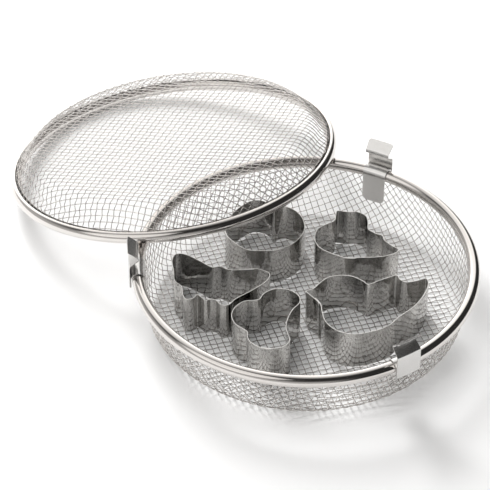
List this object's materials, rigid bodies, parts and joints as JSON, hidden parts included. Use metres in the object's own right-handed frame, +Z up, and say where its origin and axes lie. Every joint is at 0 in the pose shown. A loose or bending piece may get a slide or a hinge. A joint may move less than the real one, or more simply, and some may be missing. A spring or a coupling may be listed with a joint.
{
  "type": "mesh basket with lid and cutter forms",
  "caption": "Round steel wire-mesh basket with a domed mesh lid, spring clips on its rim and loose sheet-metal shape forms standing inside.",
  "frame": {"origin": "centre of the flat underside of the basket, on the surface it stands on", "axes": "+Z up out of the basket; the lid leans towards -X and +Y; the front clip is towards +X and -Y"},
  "size_m": [0.2812, 0.3128, 0.0594],
  "materials": {
    "woven_wire": "bright drawn wire, plain weave",
    "polished_band": "polished stainless steel",
    "inner_wire": "plain drawn wire",
    "clip_strip": "bright rolled spring strip",
    "form_sheet": "bright rolled sheet with cut edges"
  },
  "bodies": {
    "basket": {"basket_mesh": "woven_wire", "basket_rim": "polished_band", "basket_core_wire": "inner_wire", "clip_back_saddle": "clip_strip", "clip_left_saddle": "clip_strip", "clip_front_saddle": "clip_strip"},
    "lid": {"lid_mesh": "woven_wire", "lid_rim": "polished_band", "lid_core_wire": "inner_wire"},
    "latch_back": {"clip_back_latch": "clip_strip"},
    "latch_left": {"clip_left_latch": "clip_strip"},
    "latch_front": {"clip_front_latch": "clip_strip"},
    "form_ribbon": {"form_ribbon": "form_sheet"},
    "form_clover": {"form_clover": "form_sheet"},
    "form_apple": {"form_apple": "form_sheet"},
    "form_duck": {"form_duck": "form_sheet"},
    "form_bird": {"form_bird": "form_sheet"}
  },
  "joints": [
    {"name": "lid_lift", "type": "slide", "parent": "basket", "child": "lid", "axis": [0, 0, 1], "range_m": [0, 0.12]},
    {"name": "latch_back_swing", "type": "hinge", "parent": "basket", "child": "latch_back", "pos_m": [0.04691, 0.09128, 0.0282], "axis": [-0.8894, 0.4571, 0], "range_deg": [0, 12], "stiffness_Nm_per_rad": 0.4},
    {"name": "latch_left_swing", "type": "hinge", "parent": "basket", "child": "latch_left", "pos_m": [-0.1025, -0.00501, 0.0282], "axis": [0.0489, -0.9988, 0], "range_deg": [0, 12], "stiffness_Nm_per_rad": 0.4},
    {"name": "latch_front_swing", "type": "hinge", "parent": "basket", "child": "latch_front", "pos_m": [0.05559, -0.08626, 0.0282], "axis": [0.8406, 0.5417, 0], "range_deg": [0, 12], "stiffness_Nm_per_rad": 0.4},
    {"name": "form_ribbon_lift", "type": "slide", "parent": "basket", "child": "form_ribbon", "axis": [0, 0, 1], "range_m": [0, 0.011]},
    {"name": "form_clover_lift", "type": "slide", "parent": "basket", "child": "form_clover", "axis": [0, 0, 1], "range_m": [0, 0.06]},
    {"name": "form_apple_lift", "type": "slide", "parent": "basket", "child": "form_apple", "axis": [0, 0, 1], "range_m": [0, 0.014]},
    {"name": "form_duck_lift", "type": "slide", "parent": "basket", "child": "form_duck", "axis": [0, 0, 1], "range_m": [0, 0.06]},
    {"name": "form_bird_lift", "type": "slide", "parent": "basket", "child": "form_bird", "axis": [0, 0, 1], "range_m": [0, 0.06]}
  ]
}
